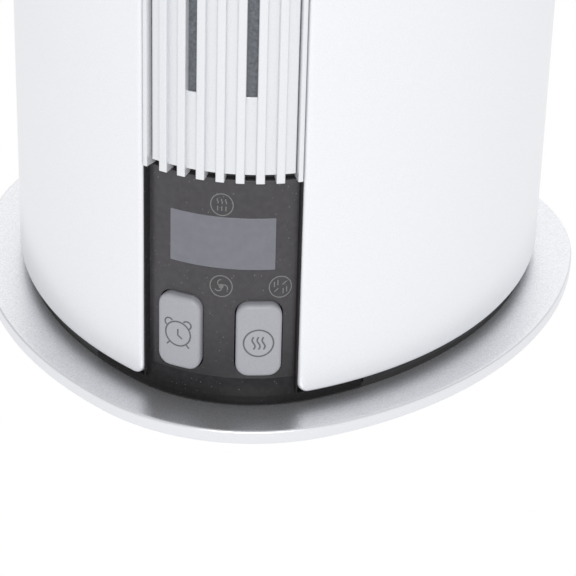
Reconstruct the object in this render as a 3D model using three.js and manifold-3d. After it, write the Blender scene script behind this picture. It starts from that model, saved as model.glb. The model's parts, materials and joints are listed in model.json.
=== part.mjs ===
// Ceramic tower heater that turns on a flat, egg-shaped foot.
// Millimetres. +Z is up, the front faces -Y, and the origin is on the floor under the middle of the foot.
import * as THREE from 'three';
import Module from 'manifold-3d';
import { mergeVertices } from 'three/addons/utils/BufferGeometryUtils.js';

const wasm = await Module();
wasm.setup();

// Plan outline: four tangent arcs from the nose at the front to the middle of the back.
const NOSE_RADIUS = 52;
const FLANK_RADIUS = 122;
const CORNER_RADIUS = 58;
const NOSE_END = THREE.MathUtils.degToRad(32);
const FLANK_END = THREE.MathUtils.degToRad(90.5);
const CORNER_END = THREE.MathUtils.degToRad(142);
const BACK_RADIUS = (NOSE_RADIUS * Math.sin(NOSE_END)
  + FLANK_RADIUS * (Math.sin(FLANK_END) - Math.sin(NOSE_END))
  + CORNER_RADIUS * (Math.sin(CORNER_END) - Math.sin(FLANK_END))) / Math.sin(CORNER_END);
const ARCS = [
  { radius: NOSE_RADIUS, from: 0, to: NOSE_END, steps: 6 },
  { radius: FLANK_RADIUS, from: NOSE_END, to: FLANK_END, steps: 7 },
  { radius: CORNER_RADIUS, from: FLANK_END, to: CORNER_END, steps: 6 },
  { radius: BACK_RADIUS, from: CORNER_END, to: Math.PI, steps: 4 },
];
const DEPTH = ARCS.reduce((sum, a) => sum + a.radius * (Math.cos(a.from) - Math.cos(a.to)), 0);
const NOSE_CENTRE_Y = NOSE_RADIUS - DEPTH / 2;

// Radii, about the middle of the nose arc, of a cut that goes through the whole front wall
const THROUGH_NOSE = [40, 60];

// Heights of the foot and tower
const GAP = 0.3;
const BASE_BOTTOM = 2;
const BASE_TOP = 6.5;
const BASE_REACH = 12.2;
const BASE_RIM = 3.2;
const RECESS_TOP = 4.5;
const BALLAST = { reach: 8.6, bottom: 2.5, top: 4.2 };
const FOOT_PAD = { radius: 9, top: 2.2, places: [[-72, 22], [72, 22], [-34, -64], [34, -64], [0, 78]] };
const CORE_BOTTOM = 7.3;
const SHELL_BOTTOM = 10.8;
const SHELL_TOP = 538;
const TOTAL_HEIGHT = 550;

// Cutting boxes reach past the whole tower. The front pieces end at FRONT_CUT, the back ones start at BACK_CUT.
const SPAN = 100;
const ALL_HEIGHTS = [0, 600];
const FRONT_CUT = [-SPAN, -50];
const BACK_CUT = [60, SPAN];

// Tower walls
const WALL = 2.5;
const FRONT_OPENING = 23.8;
const BACK_OPENING = 38;
const PANEL_INSET = 3.2;
const PANEL_WALL = 2.4;
const PANEL_TOP = 81.7;
const PANEL_HALF_WIDTH = 30;
const LIP = { inset: 1.4, thickness: 4, halfWidth: 41 };
const FLOOR = { inset: 3, innerInset: 6.2, top: 9.6, hole: 36.3, collar: 37 };

// Grille
const GROOVE_INSET = 1.8;
const RIB_PITCH = THREE.MathUtils.degToRad(6.45);
const RIB_WIDTH = 2.6;
const RIB_COUNT = 7;
const RIB_BACK = 47;
const GRILLE_WALL = 2;
const GRILLE_EDGE = 1.2;
const GRILLE_BOTTOM = PANEL_TOP + GAP;
const GRILLE_TOP = 520;
const SLOT_WIDTH = 2.4;
const LONG_SLOT_BOTTOM = 108.6;
const OUTLET_BOTTOM = 150;
const OUTLET_TOP = 480;

// Controls
const BUTTON_ANGLE = THREE.MathUtils.degToRad(13.8);
const BUTTON = { width: 14.2, height: 24.4, z: 29.5, face: 51, back: 45.4 };
const BUTTON_CORNER = 4;
const BUTTON_STEP = 0.6;
const BUTTON_PLAY = 0.4;
const TACT_SWITCH = { size: 6, back: 36.2, face: 44 };
const DISPLAY = { halfAngle: THREE.MathUtils.degToRad(18.6), bottom: 52.4, top: 69.4, back: 47.2, face: 49 };

// Turning gear on the foot
const BOSS_RADIUS = 26;
const BOSS_TOP = 13;
const BORE = 4.3;
const BORE_BOTTOM = 8;
const PIVOT = { radius: 4, bottom: 8.3, top: 27.7 };
const BEARING_RING = { outer: 35, inner: 28, top: 8.8 };
const RETAINER = { outer: 34, inner: 10, top: 14.8 };
const PIVOT_SCREW = { reach: 18, hole: 1.8, radius: 1.5, bottom: 8.3, head: 3.2, top: 16.9 };
const SWING_MOTOR = { radius: 25, bottom: 17.5, bore: 28, top: 32 };
const BRIDGE = { halfLength: 52, halfWidth: 12, leg: 3, bottom: 9.9, thickness: 2 };

// Blower, running up the middle of the tower
const BLOWER = { y: 6, bottom: 150, top: 480, half: 38, front: -38, bore: 33, wall: 3, outlet: 22, inlet: 26 };
const WHEEL = { radius: 30, disc: 3, ring: 6, play: 5 };
const BLADES = { count: 14, width: 1.6, outer: 29.4, inner: 24.4 };
const SHAFT_RADIUS = 3;
const BEARING_RADIUS = 8;
const FAN_MOTOR = { radius: 28, bottom: 100, shaft: 112, top: 144 };
const HEATER = { half: 25, front: -72, back: -40, bottom: 160, top: 470, rim: 3 };
const FINS = { pitch: 9.1, slotWidth: 5.6, depth: 12, end: 6 };

// Intake and handle at the back
const COVER_INSET = 0.4;
const REAR_SCREW = { hole: 2, radius: 1.7, head: 3.2, places: [[-32, 100], [32, 100], [-32, 477], [32, 477]] };
const INTAKE = { half: 28, bottom: 130, top: 470, gaps: 18, gapHalfWidth: 24, gapHeight: 12, rail: 4 };
const FOAM = { half: 26, front: 79, back: 82 };
const HOUSING_TOP = 484;
const HANDLE = { half: 32, bottom: 492, top: 520, floor: 56, wall: 1.8, inset: 3.3 };
const ROCKER = { half: 10, bottom: 62, top: 76, play: 1.2, inner: 83, face: 90.4 };
const ROCKER_FRAME = { border: 3, inner: 66, face: 81.4, floor: 70 };
const GLAND = { radius: 6, stem: 4, bore: 2.6, z: 28 };

// Top of the tower
const CAP = { edge: 1.5, seat: 12, tongue: 8 };
const HEAD = { inset: 0.2, thickness: 5.4, halfWidth: 22.8 };

const PAINTS = {
  silver: { color: 0xe4e6e8, roughness: 0.38, metalness: 0.25 },
  footSilver: { color: 0xd6d8da, roughness: 0.3, metalness: 0.6 },
  charcoal: { color: 0x34322f, roughness: 0.35, metalness: 0 },
  blackPlastic: { color: 0x1c1c1e, roughness: 0.55, metalness: 0 },
  greyButton: { color: 0xa9acb0, roughness: 0.45, metalness: 0 },
  window: { color: 0x6a6c76, roughness: 0.2, metalness: 0 },
  whitePlastic: { color: 0xdededa, roughness: 0.5, metalness: 0 },
  board: { color: 0x1d5a37, roughness: 0.55, metalness: 0 },
  steel: { color: 0x9a9da0, roughness: 0.35, metalness: 0.9 },
  darkSteel: { color: 0x3a3c3f, roughness: 0.45, metalness: 0.8 },
  brass: { color: 0xb08d4a, roughness: 0.35, metalness: 0.9 },
  aluminium: { color: 0xb9bcc0, roughness: 0.4, metalness: 0.85 },
  rubber: { color: 0x1a1a1a, roughness: 0.9, metalness: 0 },
  foam: { color: 0x2c2d30, roughness: 0.95, metalness: 0 },
};

const heater = new THREE.Group();

// Solid helpers

function solid(geometry) {
  geometry.deleteAttribute('normal');
  geometry.deleteAttribute('uv');
  const merged = mergeVertices(geometry, 1e-4);
  return new wasm.Manifold(new wasm.Mesh({
    numProp: 3,
    vertProperties: merged.attributes.position.array,
    triVerts: Uint32Array.from(merged.index.array),
  }));
}

function add(name, shape, paint) {
  const { vertProperties, triVerts } = shape.getMesh();
  const geometry = new THREE.BufferGeometry();
  geometry.setAttribute('position', new THREE.BufferAttribute(Float32Array.from(vertProperties), 3));
  geometry.setIndex(new THREE.BufferAttribute(Uint32Array.from(triVerts), 1));
  geometry.computeVertexNormals();
  const mesh = new THREE.Mesh(geometry, new THREE.MeshStandardMaterial(PAINTS[paint]));
  mesh.name = name;
  heater.add(mesh);
}

function prism(points, bottom, top) {
  const geometry = new THREE.ExtrudeGeometry(new THREE.Shape(points), {
    depth: top - bottom,
    bevelEnabled: false,
  });
  return solid(geometry.translate(0, 0, bottom));
}

function box([x0, x1], [y0, y1], [z0, z1]) {
  const geometry = new THREE.BoxGeometry(x1 - x0, y1 - y0, z1 - z0);
  return solid(geometry.translate((x0 + x1) / 2, (y0 + y1) / 2, (z0 + z1) / 2));
}

function cylinder(radius, bottom, top, x = 0, y = 0, sides = 28) {
  const geometry = new THREE.CylinderGeometry(radius, radius, top - bottom, sides);
  return solid(geometry.rotateX(Math.PI / 2).translate(x, y, (bottom + top) / 2));
}

function tube(outer, inner, bottom, top, x = 0, y = 0, sides = 28) {
  return cylinder(outer, bottom, top, x, y, sides).subtract(cylinder(inner, bottom - 1, top + 1, x, y, sides));
}

// The plan outline, moved outwards by offset
function outline(offset) {
  const half = [];
  let x = 0;
  let y = -DEPTH / 2;
  for (const { radius, from, to, steps } of ARCS) {
    const cx = x - radius * Math.sin(from);
    const cy = y + radius * Math.cos(from);
    for (let i = 0; i < steps; i += 1) {
      const t = from + (to - from) * (i / steps);
      half.push([cx + (radius + offset) * Math.sin(t), cy - (radius + offset) * Math.cos(t)]);
    }
    x = cx + radius * Math.sin(to);
    y = cy - radius * Math.cos(to);
  }
  half.push([0, DEPTH / 2 + offset]);
  const other = half.slice(1, -1).reverse().map(([px, py]) => [-px, py]);
  return [...half, ...other].map(([px, py]) => new THREE.Vector2(px, py));
}

function slab(offset, bottom, top) {
  return prism(outline(offset), bottom, top);
}

function wall(inset, thickness, bottom, top) {
  return slab(-inset, bottom, top).subtract(slab(-inset - thickness, bottom - 1, top + 1));
}

function roundedRectangle(width, height, radius) {
  const points = [];
  const corners = [[1, 1, 0], [-1, 1, 1], [-1, -1, 2], [1, -1, 3]];
  for (const [sx, sy, quarter] of corners) {
    for (let i = 0; i <= 4; i += 1) {
      const t = (quarter + i / 4) * Math.PI / 2;
      const px = sx * (width / 2 - radius) + radius * Math.cos(t);
      const py = sy * (height / 2 - radius) + radius * Math.sin(t);
      points.push(new THREE.Vector2(px, py));
    }
  }
  return points;
}

// A block on the nose arc: it stands at the angle, between two radii, and its long side is upright.
function noseBlock(points, angle, innerRadius, outerRadius, z) {
  const geometry = new THREE.ExtrudeGeometry(new THREE.Shape(points), {
    depth: outerRadius - innerRadius,
    bevelEnabled: false,
  });
  geometry.translate(0, 0, innerRadius).rotateX(Math.PI / 2).rotateZ(angle);
  return solid(geometry.translate(0, NOSE_CENTRE_Y, z));
}

function noseBar(angle, width, innerRadius, outerRadius, bottom, top) {
  return noseBlock(rectangle(width, top - bottom), angle, innerRadius, outerRadius, (bottom + top) / 2);
}

function rectangle(width, height) {
  const corners = [[1, 1], [-1, 1], [-1, -1], [1, -1]];
  return corners.map(([sx, sy]) => new THREE.Vector2(sx * width / 2, sy * height / 2));
}

// Foot

function screwPlaces() {
  return [45, 135, 225, 315].map((angle) => {
    const t = THREE.MathUtils.degToRad(angle);
    return [PIVOT_SCREW.reach * Math.cos(t), PIVOT_SCREW.reach * Math.sin(t)];
  });
}

function makeBasePlate() {
  const recess = slab(BASE_REACH - BASE_RIM, BASE_BOTTOM - 1, RECESS_TOP);
  const boss = cylinder(BOSS_RADIUS, RECESS_TOP, BOSS_TOP, 0, 0, 40);
  let plate = slab(BASE_REACH, BASE_BOTTOM, BASE_TOP).subtract(recess).add(boss);
  plate = plate.subtract(cylinder(BORE, BORE_BOTTOM, BOSS_TOP + 1));
  for (const [x, y] of screwPlaces()) {
    plate = plate.subtract(cylinder(PIVOT_SCREW.hole, BORE_BOTTOM, BOSS_TOP + 1, x, y, 8));
  }
  add('base_plate', plate, 'footSilver');
}

function makeBallast() {
  add('ballast_plate', slab(BALLAST.reach, BALLAST.bottom, BALLAST.top), 'darkSteel');
}

function makeFeet() {
  FOOT_PAD.places.forEach(([x, y], i) => {
    add(`foot_pad_${i + 1}`, cylinder(FOOT_PAD.radius, 0, FOOT_PAD.top, x, y, 24), 'rubber');
  });
}

function makeTurntable() {
  const ring = tube(BEARING_RING.outer, BEARING_RING.inner, BASE_TOP + GAP, BEARING_RING.top, 0, 0, 36);
  add('bearing_ring', ring, 'whitePlastic');
  add('pivot_shaft', cylinder(PIVOT.radius, PIVOT.bottom, PIVOT.top), 'steel');
  let retainer = tube(RETAINER.outer, RETAINER.inner, BOSS_TOP + GAP, RETAINER.top, 0, 0, 36);
  for (const [x, y] of screwPlaces()) {
    retainer = retainer.subtract(cylinder(PIVOT_SCREW.hole, BOSS_TOP, RETAINER.top + 1, x, y, 8));
  }
  add('retaining_plate', retainer, 'steel');
  screwPlaces().forEach(([x, y], i) => {
    const seat = RETAINER.top + GAP;
    const screw = cylinder(PIVOT_SCREW.radius, PIVOT_SCREW.bottom, seat + GAP, x, y, 8)
      .add(cylinder(PIVOT_SCREW.head, seat, PIVOT_SCREW.top, x, y, 12));
    add(`pivot_screw_${i + 1}`, screw, 'steel');
  });
}

// Tower walls

function makeTowerFloor() {
  const frontCut = box([-LIP.halfWidth - 1, LIP.halfWidth + 1], FRONT_CUT, ALL_HEIGHTS);
  const plate = slab(-FLOOR.inset, CORE_BOTTOM, FLOOR.top)
    .subtract(frontCut)
    .add(slab(-FLOOR.innerInset, CORE_BOTTOM, FLOOR.top))
    .subtract(cylinder(FLOOR.hole, 0, BOSS_TOP, 0, 0, 40));
  const collar = tube(FLOOR.collar, BOSS_RADIUS + 0.5, FLOOR.top - 0.5, BOSS_TOP, 0, 0, 40);
  add('tower_floor', plate.add(collar), 'blackPlastic');
}

function makeShells() {
  const ring = wall(0, WALL, SHELL_BOTTOM, SHELL_TOP);
  for (const [name, side] of [['left_shell', -1], ['right_shell', 1]]) {
    const front = side < 0 ? [-SPAN, -FRONT_OPENING] : [FRONT_OPENING, SPAN];
    const back = side < 0 ? [-SPAN, -BACK_OPENING] : [BACK_OPENING, SPAN];
    const half = ring.intersect(box(front, [-SPAN, 0], ALL_HEIGHTS)
      .add(box(back, [-1, SPAN], ALL_HEIGHTS)));
    add(name, half, 'silver');
  }
}

function makeBezel() {
  let bezel = wall(PANEL_INSET, PANEL_WALL, CORE_BOTTOM, PANEL_TOP)
    .intersect(box([-PANEL_HALF_WIDTH, PANEL_HALF_WIDTH], FRONT_CUT, ALL_HEIGHTS));
  const lip = wall(LIP.inset, LIP.thickness, CORE_BOTTOM, SHELL_BOTTOM - 0.4)
    .intersect(box([-LIP.halfWidth, LIP.halfWidth], [-SPAN, -30], ALL_HEIGHTS));
  bezel = bezel.add(lip);
  for (const side of [-1, 1]) {
    const hole = roundedRectangle(BUTTON.width + 2 * BUTTON_PLAY, BUTTON.height + 2 * BUTTON_PLAY,
      BUTTON_CORNER + BUTTON_PLAY);
    bezel = bezel.subtract(noseBlock(hole, side * BUTTON_ANGLE, ...THROUGH_NOSE, BUTTON.z));
  }
  bezel = bezel.subtract(displayBlock(...THROUGH_NOSE, GAP));
  add('front_bezel', bezel, 'charcoal');
}

// The display's piece of the nose arc, between two radii, grown by a margin on each side
function displayBlock(innerRadius, outerRadius, margin) {
  const half = DISPLAY.halfAngle + margin / NOSE_RADIUS;
  const points = [];
  const steps = 8;
  for (let i = 0; i <= steps; i += 1) {
    const t = -half + 2 * half * (i / steps);
    points.push(new THREE.Vector2(outerRadius * Math.sin(t), NOSE_CENTRE_Y - outerRadius * Math.cos(t)));
  }
  for (let i = steps; i >= 0; i -= 1) {
    const t = -half + 2 * half * (i / steps);
    points.push(new THREE.Vector2(innerRadius * Math.sin(t), NOSE_CENTRE_Y - innerRadius * Math.cos(t)));
  }
  return prism(points, DISPLAY.bottom - margin, DISPLAY.top + margin);
}

function makeGrille() {
  const front = wall(GROOVE_INSET, GRILLE_WALL, GRILLE_BOTTOM, GRILLE_TOP)
    .intersect(box([-FRONT_OPENING + GAP, FRONT_OPENING - GAP], FRONT_CUT, ALL_HEIGHTS));
  let grille = wall(PANEL_INSET, PANEL_WALL, GRILLE_BOTTOM, GRILLE_TOP)
    .intersect(box([-PANEL_HALF_WIDTH, PANEL_HALF_WIDTH], FRONT_CUT, ALL_HEIGHTS))
    .add(front);
  const ribs = (RIB_COUNT - 1) / 2;
  for (let i = -ribs; i <= ribs; i += 1) {
    const rib = noseBar(i * RIB_PITCH, RIB_WIDTH, RIB_BACK, NOSE_RADIUS - 0.1, GRILLE_BOTTOM, GRILLE_TOP);
    grille = grille.add(rib);
  }
  for (const side of [-1, 1]) {
    const angle = side * Math.asin((FRONT_OPENING - 1) / NOSE_RADIUS);
    const edge = noseBar(angle, GRILLE_EDGE, RIB_BACK, NOSE_RADIUS - GAP, GRILLE_BOTTOM, GRILLE_TOP);
    grille = grille.add(edge);
  }
  for (let i = 0; i < RIB_COUNT + 1; i += 1) {
    const groove = i - RIB_COUNT / 2;
    const bottom = Math.abs(groove) === 1.5 ? LONG_SLOT_BOTTOM : OUTLET_BOTTOM;
    grille = grille.subtract(noseBar(groove * RIB_PITCH, SLOT_WIDTH, ...THROUGH_NOSE, bottom, OUTLET_TOP));
  }
  add('front_grille', grille, 'silver');
}

function makeTop() {
  const rim = slab(0, SHELL_TOP + GAP, TOTAL_HEIGHT - 3)
    .add(slab(-CAP.edge, SHELL_TOP + GAP, TOTAL_HEIGHT - 1));
  const tongue = wall(WALL + 0.5, 2, SHELL_TOP - CAP.tongue, SHELL_TOP + 1)
    .subtract(box([-40, 40], [-SPAN, SPAN], ALL_HEIGHTS));
  const seat = slab(-CAP.seat, TOTAL_HEIGHT - 3.5, TOTAL_HEIGHT + 1);
  add('top_cap', rim.add(tongue).subtract(seat), 'silver');
  add('top_inlay', slab(-CAP.seat - GAP, TOTAL_HEIGHT - 3.2, TOTAL_HEIGHT), 'charcoal');
}

function makeFrontHead() {
  const head = wall(HEAD.inset, HEAD.thickness, GRILLE_TOP + GAP, SHELL_TOP - GAP)
    .intersect(box([-HEAD.halfWidth, HEAD.halfWidth], FRONT_CUT, ALL_HEIGHTS));
  add('front_head', head, 'silver');
}

// Controls behind and in the bezel

function makeControls() {
  add('display_window', displayBlock(DISPLAY.back, DISPLAY.face, 0), 'window');
  add('display_module', box([-15, 15], [-79.5, -72], [DISPLAY.bottom, DISPLAY.top]), 'whitePlastic');
  add('control_board', box([-22, 22], [-71.6, -70], [16, 80]), 'board');
  for (const [key, side] of [['timer', -1], ['heat', 1]]) {
    const angle = side * BUTTON_ANGLE;
    const cap = roundedRectangle(BUTTON.width, BUTTON.height, BUTTON_CORNER);
    const edge = roundedRectangle(BUTTON.width - 2 * BUTTON_STEP, BUTTON.height - 2 * BUTTON_STEP,
      BUTTON_CORNER - BUTTON_STEP);
    const body = noseBlock(cap, angle, BUTTON.back, BUTTON.face - BUTTON_STEP, BUTTON.z)
      .add(noseBlock(edge, angle, BUTTON.back, BUTTON.face, BUTTON.z));
    add(`${key}_button`, body, 'greyButton');
    const pad = rectangle(TACT_SWITCH.size, TACT_SWITCH.size);
    add(`${key}_switch`, noseBlock(pad, angle, TACT_SWITCH.back, TACT_SWITCH.face, BUTTON.z), 'blackPlastic');
  }
}

// Back of the tower

function backStrip(bottom, top) {
  return wall(COVER_INSET, WALL, bottom, top)
    .intersect(box([-BACK_OPENING + GAP, BACK_OPENING - GAP], BACK_CUT, ALL_HEIGHTS));
}

function makeRearHousing() {
  let housing = backStrip(SHELL_BOTTOM, HOUSING_TOP);
  const rockerHeights = [ROCKER.bottom - ROCKER.play, ROCKER.top + ROCKER.play];
  const cuts = [
    box([-INTAKE.half, INTAKE.half], BACK_CUT, [INTAKE.bottom, INTAKE.top]),
    box([-ROCKER.half - GAP, ROCKER.half + GAP], BACK_CUT, rockerHeights),
    backRod(GLAND.stem + GAP, ...BACK_CUT, 0, GLAND.z, 28),
  ];
  for (const [x, z] of REAR_SCREW.places) {
    cuts.push(backRod(REAR_SCREW.hole, ...BACK_CUT, x, z, 12));
  }
  for (const cut of cuts) {
    housing = housing.subtract(cut);
  }
  add('rear_housing', housing, 'charcoal');
}

// A rod that lies along Y, at x and the height z
function backRod(radius, front, back, x, z, sides) {
  return cylinder(radius, front, back, x, -z, sides).rotate([-90, 0, 0]);
}

function makeRearScrews() {
  const seat = DEPTH / 2 - COVER_INSET + GAP;
  REAR_SCREW.places.forEach(([x, z], i) => {
    const shank = backRod(REAR_SCREW.radius, seat - 11.6, seat, x, z, 8);
    const head = backRod(REAR_SCREW.head, seat - 0.1, seat + 1.4, x, z, 12);
    add(`rear_screw_${i + 1}`, shank.add(head).translate([0, rearScrewDrop(x), 0]), 'darkSteel');
  });
}

// How far the curved back wall falls away at x, so that a screw head clears it
function rearScrewDrop(x) {
  return Math.sqrt(BACK_RADIUS ** 2 - (Math.abs(x) - REAR_SCREW.head) ** 2) - BACK_RADIUS;
}

function makeHandle() {
  const { half, bottom, top, floor, wall: thick } = HANDLE;
  const cup = box([-half - thick, half + thick], [floor, SPAN], [bottom - thick, top + thick])
    .subtract(box([-half, half], [floor + thick, SPAN + 1], [bottom, top]))
    .intersect(slab(-HANDLE.inset, 0, TOTAL_HEIGHT));
  add('handle_cup', cup, 'charcoal');
  const mouth = box([-half, half], BACK_CUT, [bottom, top]);
  add('handle_surround', backStrip(HOUSING_TOP + GAP, SHELL_TOP - GAP).subtract(mouth), 'charcoal');
}

function makeIntake() {
  const { half, bottom, top, gaps, gapHalfWidth, gapHeight, rail } = INTAKE;
  let grille = wall(COVER_INSET, WALL, bottom + GAP, top - GAP)
    .intersect(box([-half + GAP, half - GAP], BACK_CUT, ALL_HEIGHTS));
  const pitch = (top - bottom - 2 * rail) / gaps;
  for (let i = 0; i < gaps; i += 1) {
    const z = bottom + rail + pitch * (i + 0.5);
    const opening = [z - gapHeight / 2, z + gapHeight / 2];
    grille = grille.subtract(box([-gapHalfWidth, gapHalfWidth], BACK_CUT, opening));
  }
  add('intake_grille', grille, 'blackPlastic');
  const foam = box([-FOAM.half, FOAM.half], [FOAM.front, FOAM.back], [bottom + rail, top - rail]);
  add('filter_foam', foam, 'foam');
}

function makeSwitchAndGland() {
  const { half, bottom, top } = ROCKER;
  add('power_rocker', box([-half, half], [ROCKER.inner, ROCKER.face], [bottom, top]), 'blackPlastic');
  const { border, inner, face, floor } = ROCKER_FRAME;
  const frame = box([-half - border, half + border], [inner, face], [bottom - 2, top + 2])
    .subtract(box([-half + 1, half - 1], [floor, face + 1], [bottom, top]));
  add('rocker_frame', frame, 'blackPlastic');
  const collar = backRod(GLAND.radius, 89.75, 93, 0, GLAND.z, 24);
  const stem = backRod(GLAND.stem, 74, 90, 0, GLAND.z, 24);
  const nut = backRod(GLAND.radius, 80, 86, 0, GLAND.z, 6);
  const bore = backRod(GLAND.bore, 70, SPAN, 0, GLAND.z, 16);
  add('cord_gland', collar.add(stem).add(nut).subtract(bore), 'rubber');
}

// Inside of the tower

function makeOscillation() {
  const motor = cylinder(SWING_MOTOR.radius, SWING_MOTOR.bottom, SWING_MOTOR.top, 0, 0, 40)
    .subtract(cylinder(BORE, SWING_MOTOR.bottom - 1, SWING_MOTOR.bore));
  add('oscillation_motor', motor, 'steel');
  const { halfLength, halfWidth, leg, bottom, thickness } = BRIDGE;
  const deck = SWING_MOTOR.top + GAP;
  let bridge = box([-halfLength, halfLength], [-halfWidth, halfWidth], [deck, deck + thickness]);
  for (const x of [-halfLength, halfLength - leg]) {
    bridge = bridge.add(box([x, x + leg], [-halfWidth, halfWidth], [bottom, deck + 1]));
  }
  add('motor_bridge', bridge, 'darkSteel');
  add('tip_switch', box([-12, 12], [38, 58], [12, 26]), 'whitePlastic');
}

function makeHeater() {
  const { half, front, back, bottom, top, rim } = HEATER;
  const middle = (bottom + top) / 2;
  const frame = box([-half, half], [front, back], [bottom, top])
    .subtract(box([-half + rim, half - rim], [front - 1, back + 1], [bottom + rim, middle - rim]))
    .subtract(box([-half + rim, half - rim], [front - 1, back + 1], [middle + rim, top - rim]));
  add('heater_frame', frame, 'whitePlastic');
  const cores = [['ptc_core_lower', bottom + rim, middle - rim], ['ptc_core_upper', middle + rim, top - rim]];
  for (const [name, z0, z1] of cores) {
    let core = box([-half + rim + GAP, half - rim - GAP], [front + 4, back - 4], [z0 + GAP, z1 - GAP]);
    for (let i = -2; i <= 1; i += 1) {
      const x = (i + 0.5) * FINS.pitch;
      const width = [x - FINS.slotWidth / 2, x + FINS.slotWidth / 2];
      for (const depth of [[front, front + FINS.depth], [back - FINS.depth, back]]) {
        core = core.subtract(box(width, depth, [z0 + FINS.end, z1 - FINS.end]));
      }
    }
    add(name, core, 'aluminium');
  }
  add('thermostat', cylinder(7, 484, 492, 0, -56, 20), 'steel');
}

function makeBlower() {
  const { y, bottom, top, half, front, bore, wall: thick, outlet, inlet } = BLOWER;
  const inside = [bottom + thick, top - thick];
  const housing = box([-half, half], [front, y + half], [bottom, top])
    .subtract(cylinder(bore, ...inside, 0, y, 40))
    .subtract(box([-outlet, outlet], [front - 1, y], inside))
    .subtract(box([-inlet, inlet], [y, SPAN], inside))
    .subtract(cylinder(BEARING_RADIUS + GAP, bottom - 1, top + 1, 0, y, 24));
  add('blower_housing', housing, 'blackPlastic');

  const shaftBore = SHAFT_RADIUS + GAP;
  add('impeller', wheelShape().subtract(cylinder(shaftBore, bottom, top, 0, y, 20)), 'blackPlastic');
  add('impeller_shaft', cylinder(SHAFT_RADIUS, FAN_MOTOR.shaft, top + 2, 0, y, 20), 'steel');
  add('lower_bearing', tube(BEARING_RADIUS, shaftBore, bottom - 3, bottom + 3.5, 0, y, 24), 'brass');
  add('upper_bearing', tube(BEARING_RADIUS, shaftBore, top - 3.5, top + 3, 0, y, 24), 'brass');
  const motor = cylinder(FAN_MOTOR.radius, FAN_MOTOR.bottom, FAN_MOTOR.top, 0, y, 40)
    .subtract(cylinder(shaftBore, FAN_MOTOR.shaft - 2, FAN_MOTOR.top + 1, 0, y, 20));
  add('fan_motor', motor, 'steel');
}

// Blades between two end discs, with a ring half way up
function wheelShape() {
  const { y } = BLOWER;
  const { radius, disc, ring, play } = WHEEL;
  const { count, width, outer, inner } = BLADES;
  const bottom = BLOWER.bottom + play;
  const top = BLOWER.top - play;
  const middle = (bottom + top) / 2;
  let wheel = cylinder(radius, bottom, bottom + disc, 0, y, 36)
    .add(cylinder(radius, top - disc, top, 0, y, 36))
    .add(tube(radius, radius - ring, middle - disc / 2, middle + disc / 2, 0, y, 36));
  for (let i = 0; i < count; i += 1) {
    const blade = box([-width / 2, width / 2], [-outer, -inner], [bottom + 1, top - 1])
      .rotate([0, 0, i * 360 / count])
      .translate([0, y, 0]);
    wheel = wheel.add(blade);
  }
  return wheel;
}

function makePowerBoard() {
  add('power_board', box([-40, 40], [56, 57.6], [34, 96]), 'board');
  add('relay_block', box([-30, -8], [38, 55.7], [60, 84]), 'blackPlastic');
  add('mains_capacitor', box([6, 32], [40, 55.7], [62, 80]), 'whitePlastic');
}

makeBasePlate();
makeBallast();
makeFeet();
makeTurntable();
makeTowerFloor();
makeShells();
makeBezel();
makeGrille();
makeTop();
makeFrontHead();
makeControls();
makeRearHousing();
makeRearScrews();
makeHandle();
makeIntake();
makeSwitchAndGland();
makeOscillation();
makeHeater();
makeBlower();
makePowerBoard();

export default heater;
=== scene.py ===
"""Looks of the ceramic tower heater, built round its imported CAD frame.

Blender works in metres. The lengths named here are millimetres, and MM turns them into metres.
"""
import json
import math

import bmesh
import bpy
from mathutils import Matrix, Vector


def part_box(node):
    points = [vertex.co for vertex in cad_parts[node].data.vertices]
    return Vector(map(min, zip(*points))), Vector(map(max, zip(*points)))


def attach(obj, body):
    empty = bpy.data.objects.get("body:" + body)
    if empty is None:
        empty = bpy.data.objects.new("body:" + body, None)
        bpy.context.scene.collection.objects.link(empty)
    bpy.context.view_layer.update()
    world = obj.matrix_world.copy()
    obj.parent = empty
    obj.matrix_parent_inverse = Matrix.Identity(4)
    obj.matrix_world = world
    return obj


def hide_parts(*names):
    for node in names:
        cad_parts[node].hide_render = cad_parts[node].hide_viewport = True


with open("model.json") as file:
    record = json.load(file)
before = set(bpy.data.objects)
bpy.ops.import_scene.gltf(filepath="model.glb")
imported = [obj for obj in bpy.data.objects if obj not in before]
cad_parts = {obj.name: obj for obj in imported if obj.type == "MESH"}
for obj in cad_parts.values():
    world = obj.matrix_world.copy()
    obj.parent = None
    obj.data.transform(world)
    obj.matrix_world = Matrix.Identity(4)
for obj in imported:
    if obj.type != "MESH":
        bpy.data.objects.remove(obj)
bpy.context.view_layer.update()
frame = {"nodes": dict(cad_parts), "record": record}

MM = 0.001

# Plan outline: tangent arcs (radius, end angle) from the nose to the middle of the back
NOSE_RADIUS = 52
ARC_ENDS = [(NOSE_RADIUS, 32), (122, 90.5), (58, 142)]
LAST = math.radians(ARC_ENDS[-1][1])

# Offset at which flat faces close across, within the smallest radius so that the outline doesn't fold over
MIDDLE = -50

# Foot
BASE_BOTTOM = 2.0
BASE_TOP = 6.5
BASE_REACH = 12.2
BASE_RIM = 3.2
RECESS_TOP = 4.5
BOSS_RADIUS = 26
BOSS_TOP = 13

# Tower heights and gaps
GAP = 0.3
CORE_BOTTOM = 7.3
SHELL_BOTTOM = 10.8
SHELL_TOP = 538
HEIGHT = 550

# Shells. OPENING_S and BACK_OPENING_S are half the openings' lengths along the outline.
SHELL_WALL = 2.5
BACK_OPENING_S = 38.95

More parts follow.
